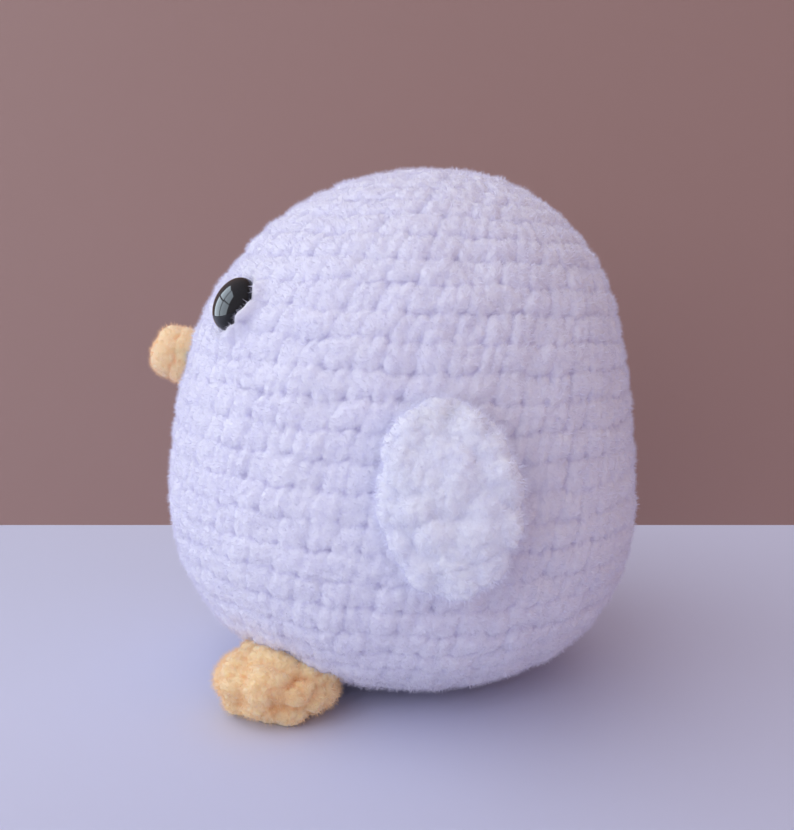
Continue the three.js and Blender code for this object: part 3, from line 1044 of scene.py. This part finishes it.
def tube(name, line, radius, place, sides=16):
    """A closed round tube along a flat line, which lies in the plane of local X and Z."""
    rings = []
    for number, point in enumerate(line):
        ahead = (line[min(number + 1, len(line) - 1)] - line[max(number - 1, 0)]).normalized()
        side = Vector((0, 1, 0))
        up = ahead.cross(side)
        for step in range(sides):
            turn = 2 * math.pi * step / sides
            spot = point + side * (radius * math.cos(turn)) + up * (radius * math.sin(turn))
            rings.append(place @ spot)
    faces = [tuple(range(sides)), tuple(reversed(range(len(rings) - sides, len(rings))))]
    faces += [(a, d, c, b) for a, b, c, d in ring_faces(len(line), sides)]
    return mesh_of(name, rings, faces)


class Seam:
    """Where one stitch of sewing yarn passes through the cover into a piece of that kind, the
    left one where there are two. A seat is a place, the way out and the level way round."""

    def __init__(self, kind, sides, seat, run, reach):
        point, outward, level = seat
        self.kind = kind
        self.sides = sides
        self.place = set_on(point, outward, level)
        self.depth = depth_of_cover(point, outward)
        self.run = run
        self.reach = reach

    def yarn(self, room=0.0):
        """The yarn of one stitch, thicker and longer by the room given."""
        line = yarn_line(self.run, self.reach, self.depth, YARN_TAIL + room)
        return tube(self.kind + " seam", line, YARN_DIAMETER / 2 + room, self.place)

    def channel(self):
        """What the yarn takes out of the pieces that it passes through."""
        return self.yarn(YARN_ROOM)


def wing_joint():
    """The left wing's hinge: a place on its axis, the way out, and the axis towards the tail."""
    joint = next(j for j in frame["joints"] if j["child"] == "left_wing")
    level = -Vector(joint["axis"])
    return Vector(joint["pos_m"]), level.cross(Vector((0, 0, 1))), level


def wing_place():
    """The left wing's frame: local X runs along the seam to the tail, Y up and Z out."""
    point, outward, level = wing_joint()
    return (set_on(point, outward, level) @ Matrix.Rotation(math.radians(-WING_HANG), 4, "X")
            @ Matrix.Rotation(math.radians(WING_SLANT), 4, "Z")
            @ Matrix.Translation((0, SEAM_DEPTH - WING_LENGTH / 2, 0)))


def seams():
    """The seams of the wings, the beak and the feet."""
    point, outward, level = wing_joint()
    wing_seat = (point - outward * SEAM_SWING, outward, level)
    distance = math.hypot(*FOOT_PLACE) - YARN_BEND
    heights = np.arange(0, BELLY_HEIGHT, SEARCH_STEP)
    height = float(heights[np.argmax(outline_radius(heights) >= distance)])
    turn = math.degrees(math.atan2(FOOT_PLACE[1], FOOT_PLACE[0]))
    return (Seam("wing", SIDES, wing_seat, WING_STITCH, SEAM_SWING),
            Seam("beak", MIDDLE, on_cover(BEAK_HEIGHT, -90), BEAK_STITCH, STITCH_REACH),
            Seam("foot", SIDES, on_cover(height, turn), FOOT_STITCH, STITCH_REACH))


def sewing_yarn(seam, yarn):
    """The yarn of a seam on each of its sides, the right one a mirror image."""
    for right, side in enumerate(seam.sides):
        form = seam.yarn()
        if right:
            mirrored(form)
        piece = new_piece(f"{side}{seam.kind}_seam_yarn", form, yarn.skin)
        finish(piece, "body", f"{side}{seam.kind}_stitch", yarn.slot)


# The body

def seats_of(place, size):
    """Where the cover lies under a sewn piece and its mirror image, as frames and half sizes."""
    half = np.array(size) / 2 * SEAT_SHARE
    return [(place, half), (MIRROR @ place, half)]


def clear_of_seats(places, seats):
    """0 under a sewn piece, 1 away from it. A seat is the piece's frame and its half sizes."""
    room = np.ones(len(places))
    for frame_of_piece, half in seats:
        back = np.array(frame_of_piece.inverted())
        local = places @ back[:3, :3].T + back[:3, 3]
        room[np.sum((local / half) ** 2, axis=1) < 1] = 0
    return room


def body_cover(yarn, seats, held):
    """The cover in its yarn, with its inside, less what is held in it."""
    directions, faces = ball_grid(COVER_CELLS)
    places, length, turn = body_places(directions)
    mesh = mesh_of("body form", bank_round_eyes(places), faces)
    lengths, radii, _ = body_meridian()
    girths = (lengths, 2 * math.pi * radii)
    keep_pattern(mesh, length, turn, girths, ROUND_PITCH, STITCH_WIDTH, FIRST_ROUND, ROUND_TILT)
    made = grown_skin(mesh, yarn, COVER_FABRIC)
    places = make_room_for_eyes(vectors_of(made.vertices, "co"))
    places[:, 2] = np.maximum(places[:, 2], TABLE_GAP)
    move_places(made, places)
    room = clear_of_eyes(places) * clear_of_seats(places, seats)
    keep_numbers(made, pile=room * above_table(places, COVER_PILE_RAMP))
    grown_pile("cover_pile", made, yarn, "body", COVER_PILE, COVER_PILE_PARTS)
    directions, faces = ball_grid(INSIDE_CELLS)
    places, _, _ = body_places(directions, COVER_WALL, COVER_FLOOR)
    inside = mesh_of("cover inside", places, faces[:, ::-1])
    joined = joined_mesh("crocheted cover", [made, inside])
    piece = new_piece("crocheted_cover", cut(joined, held))
    finish(piece, "body", "body_cover", yarn.slot)


def joined_mesh(name, meshes):
    """Several closed meshes as one, with the first one's material."""
    whole = bmesh.new()
    for mesh in meshes:
        whole.from_mesh(mesh)
    made = bpy.data.meshes.new(name)
    whole.to_mesh(made)
    whole.free()
    made.materials.append(meshes[0].materials[0])
    return made


def filling(fibre, held):
    """The filling, less what is held in it."""
    directions, faces = ball_grid(FILLING_CELLS)
    places, _, _ = body_places(directions, COVER_WALL + SEAT_GAP, COVER_FLOOR + SEAT_GAP)
    made = shaped(mesh_of("filling form", places, faces), fill_tree(), fibre, {})
    piece = new_piece("fibre_filling", cut(made, held))
    finish(piece, "body", "body_filling", "fibre_filling")


def washers(plastic):
    """The frame's own washers, in their plastic."""
    for side in SIDES:
        materials = frame["nodes"][side + "eye_washer"].data.materials
        materials.clear()
        materials.append(plastic)


# Wings, beak and feet

def evened(half, pole, steps=129):
    """What a cushion measures from a pole down: the lengths at even angles, the girth at each,
    and the even turn round it. The pole is a local direction."""
    level = np.array(Vector(pole).orthogonal().normalized())
    across = np.cross(pole, level)
    down, around = np.meshgrid(np.linspace(0, math.pi, steps), np.linspace(0, 2 * math.pi, steps),
                               indexing="ij")
    ring = np.cos(around)[..., None] * level + np.sin(around)[..., None] * across
    points = (np.cos(down)[..., None] * pole + np.sin(down)[..., None] * ring) * half
    runs = np.linalg.norm(np.diff(points, axis=0), axis=-1).mean(1)
    rims = np.linalg.norm(np.diff(points, axis=1), axis=-1)
    widest = np.append(0, np.cumsum(rims[steps // 2]))
    return (np.append(0, np.cumsum(runs)), rims.sum(1),
            widest / widest[-1] * 2 * math.pi, level, across)


def hung_from_seam(local, size):
    """Bends a wing: its seam draws its top edge in, and below that it stands out more and more
    towards its rear, which is its local +X side."""
    down = size[1] / 2 - local[:, 1]
    below = np.clip(down / size[1] * FLARE_RAMP, 0, 1)
    local[:, 2] += WING_FLARE * (local[:, 0] + size[0] / 3) * below
    local[:, 2] -= SEAM_DRAW * np.clip(1 - down / SEAM_DRAW_REACH, 0, 1) ** SEAM_DRAW_POWER
    return local


def cushion(cells, size, fullness, place, pole, pitch, width, bend=None):
    """A smooth cushion, with its crocheted pattern worked from the pole, a local direction."""
    directions, faces = ball_grid(cells)
    half = np.array(size) / 2
    local = directions * half
    local[:, 2] = np.sign(directions[:, 2]) * np.abs(directions[:, 2]) ** fullness * half[2]
    rim = 1 - np.abs(local[:, 2]) / half[2]
    if bend is not None:
        local = bend(local, size)
    place = np.array(place)
    places = local @ place[:3, :3].T + place[:3, 3]
    pole = np.array(Vector(pole).normalized())
    lengths, girths, even_turn, level, across = evened(half, pole)
    down = np.arccos(np.clip(directions @ pole, -1, 1))
    steps = np.linspace(0, math.pi, len(lengths))
    length = np.interp(down, steps, lengths)
    turn = np.arctan2(directions @ across, directions @ level) % (2 * math.pi)
    turn = np.interp(turn, np.linspace(0, 2 * math.pi, len(even_turn)), even_turn) % (2 * math.pi)
    mesh = mesh_of("cushion", places, faces)
    keep_numbers(mesh, rim=rim)
    keep_pattern(mesh, length, turn, (lengths, girths), pitch, width)
    return mesh


def kept_off_cover(places, outward, gap):
    """Moves what lies in the cover out of it, the outward way."""
    way = np.array(outward)
    for _ in range(PRESS_STEPS):
        wide = outline_radius(np.clip(places[:, 2], 0, BODY_HEIGHT)) + gap
        inside = wide - np.hypot(places[:, 0], places[:, 1] - middle_at(places[:, 2]))
        places += np.clip(inside, 0, None)[:, None] * way
    return places


def pressed_on(made, outward):
    """Keeps a crocheted piece off the cover and the table. Pile may grow where this hardly moves
    it, and somewhat deeper on its outer side."""
    before = vectors_of(made.vertices, "co")
    places = kept_off_cover(before.copy(), outward, -FABRIC_PRESS)
    places[:, 2] = np.maximum(places[:, 2], TABLE_GAP)
    moved = np.linalg.norm(places - before, axis=1)
    move_places(made, places)
    normals = vectors_of(made.vertex_normals, "vector")
    outer = normals @ np.array(outward) > OUTER_SIDE
    room = (moved < SLIGHT_PRESS) | outer & (moved < OUTER_PRESS)
    keep_numbers(made, pile=above_table(places, SEWN_PILE_RAMP) * room)


def sewn_pieces(seam, mesh, outward, yarn, fabric, pile):
    """Crochets a smooth cushion for each side of its seam. The right one is a mirror image with
    stitches of its own."""
    for right, side in enumerate(seam.sides):
        made = grown_skin(mesh, yarn, fabric | {"Seed": fabric["Seed"] + right})
        pressed_on(made, outward)
        channel = seam.channel()
        if right:
            mirrored(made)
            mirrored(channel)
        node = side + seam.kind
        body = node if node in MOVING else "body"
        grown_pile(f"crocheted_{node}_pile", made, yarn, body, pile)
        piece = new_piece(f"crocheted_{node}", cut(made, [channel]))
        finish(piece, body, node, yarn.slot)


def wings(yarn, place, seam):
    size = (WING_WIDTH + 2 * WING_FLUFF, WING_LENGTH + 2 * WING_FLUFF, WING_THICKNESS)
    mesh = cushion(WING_CELLS, size, WING_FULLNESS, place, bend=hung_from_seam, **WING_PATTERN)
    sewn_pieces(seam, mesh, wing_joint()[1], yarn, WING_FABRIC, WING_PILE)


def beak(yarn, place, seam):
    mesh = cushion(BEAK_CELLS, BEAK_SIZE, BEAK_FULLNESS, place, **BEAK_PATTERN)
    sewn_pieces(seam, mesh, (0, -1, 0), yarn, BEAK_FABRIC, BEAK_PILE)


def feet(yarn, place, seam):
    size = np.array(FOOT_SIZE) + FOOT_FLUFF
    place = Matrix.Translation(FOOT_SHIFT) @ place
    outward = Vector((*FOOT_PLACE, 0)).normalized()
    mesh = cushion(FOOT_CELLS, size, FOOT_FULLNESS, place, **FOOT_PATTERN)
    sewn_pieces(seam, mesh, outward, yarn, FOOT_FABRIC, FOOT_PILE)


# Studio

def stage_plane(name, corners, material):
    plane = new_piece(name, mesh_of(name, corners, [(0, 1, 2, 3)]), material)
    return plane


def stage_planes():
    """The table, and a backdrop that lets light and a look from behind it through."""
    far = STAGE_REACH
    low, high = WALL_HEIGHTS
    floor = [(-far, -far, 0), (far, -far, 0), (far, far, 0), (-far, far, 0)]
    stage_plane("table", floor, studio_material("table top", colour(207, 210, 233)))
    wall = [(WALL_PLACE, y, z) for y, z in ((-far, low), (far, low), (far, high), (-far, high))]
    paper = clear_from_behind(studio_material("backdrop paper", colour(160, 128, 120)))
    backdrop = stage_plane("backdrop", wall, paper)
    backdrop.visible_diffuse = False
    backdrop.visible_glossy = False
    backdrop.visible_shadow = False


def studio_camera():
    camera = bpy.data.cameras.new("camera")
    camera.sensor_width = SENSOR
    camera.lens = FOCAL_PIXELS / PHOTO_LONG_SIDE * SENSOR
    camera.clip_start = NEAREST_SEEN
    seen = new_piece("camera", camera)
    seen.location = CAMERA_PLACE
    seen.rotation_euler = (math.radians(90 - CAMERA_PITCH), 0, math.radians(90))
    bpy.context.scene.camera = seen


def lamp(name, place, target, size, watts, tint):
    light = bpy.data.lights.new(name, "AREA")
    light.shape = "RECTANGLE"
    light.size, light.size_y = size
    light.energy = watts
    light.color = tint
    made = new_piece(name, light)
    made.location = place
    made.rotation_euler = (Vector(target) - Vector(place)).to_track_quat("-Z", "Y").to_euler()
    return made


def window():
    """A window of four panes, far to the bird's front. It shows in the gloss of the eyes."""
    for column in (-1, 1):
        for row in (-1, 1):
            step = Vector((column * PANE_STEP[0], 0, row * PANE_STEP[1]))
            place = Vector(WINDOW_PLACE) + step
            target = place + Vector(WINDOW_WAY)
            pane = lamp("window pane", place, target, PANE_SIZE, PANE_WATTS, PANE_TINT)
            pane.visible_diffuse = False


def studio_lights():
    """Soft lamps that leave no gloss, and the window."""
    for name, place, size, watts, tint in LAMPS:
        light = lamp(name, place, LAMP_TARGET, size, watts, tint)
        light.visible_glossy = False
    window()


def studio_world():
    """Soft light all round, pale from the window side and above, dim and warm from the wall."""
    world = bpy.data.worlds.new("studio")
    bpy.context.scene.world = world
    world.use_nodes = True
    net = Net(world.node_tree)
    way = net.get("ShaderNodeTexCoord", None, None, "Generated")
    inputs = {0: way, 1: Vector(GLOW_WAY).normalized()}
    share = net.get("ShaderNodeVectorMath", {"operation": "DOT_PRODUCT"}, inputs, "Value")
    tint = net.mixed(share.ramp(*GLOW_RAMP), WALL_GLOW, WINDOW_GLOW)
    net.fill(world.node_tree.nodes["Background"], {"Color": tint})


# The whole bird

def dress_the_bird():
    white = Yarn("white yarn", "white_yarn", WHITE, WHITE_PAINTED_SHADE, EVEN_GLOW)
    # The wings' copy of the white yarn is painted lighter: painted light
    lit_white_yarn = Yarn("brushed yarn", "white_yarn", WHITE_PAINTED_LIGHTER, WHITE_PAINTED_SHADE, EVEN_GLOW)
    peach = Yarn("peach yarn", "peach_yarn", PEACH, PEACH_PAINTED_SHADE, WARM_GLOW)
    apricot = Yarn("apricot yarn", "apricot_yarn", APRICOT, APRICOT_PAINTED_SHADE, WARM_GLOW)
    loose = fibre_material("loose fibre", colour(244, 244, 242), colour(226, 226, 226))
    wing_seam, beak_seam, foot_seam = all_seams = seams()
    hung = wing_place()
    front = on_cover(BEAK_HEIGHT, -90)[0].y - BEAK_PROUD
    beak_place = Matrix.Translation((0, front, BEAK_HEIGHT))
    foot_place = Matrix.Translation((*FOOT_PLACE, FOOT_SIZE[2] / 2 - BASE_CUT))
    seats = seats_of(hung, (WING_WIDTH, WING_LENGTH, WING_SEAT_DEPTH))
    seats += seats_of(beak_place, BEAK_SIZE) + seats_of(foot_place, FOOT_SIZE)
    channels = [seam.channel() for seam in all_seams]
    channels += [mirrored(seam.channel()) for seam in all_seams if seam.sides == SIDES]
    posts, pockets = eye_cutters()
    body_cover(white, seats, posts + channels)
    filling(loose, pockets + channels)
    eyes(eye_material())
    washers(washer_material())
    wings(lit_white_yarn, hung, wing_seam)
    beak(peach, beak_place, beak_seam)
    feet(apricot, foot_place, foot_seam)
    for seam, yarn in zip(all_seams, (white, peach, apricot)):
        sewing_yarn(seam, yarn)


SKIN = skin_tree()
PILE = pile_tree()
studio_camera()
stage_planes()
studio_world()
studio_lights()
bpy.context.scene.view_settings.view_transform = "Standard"
dress_the_bird()
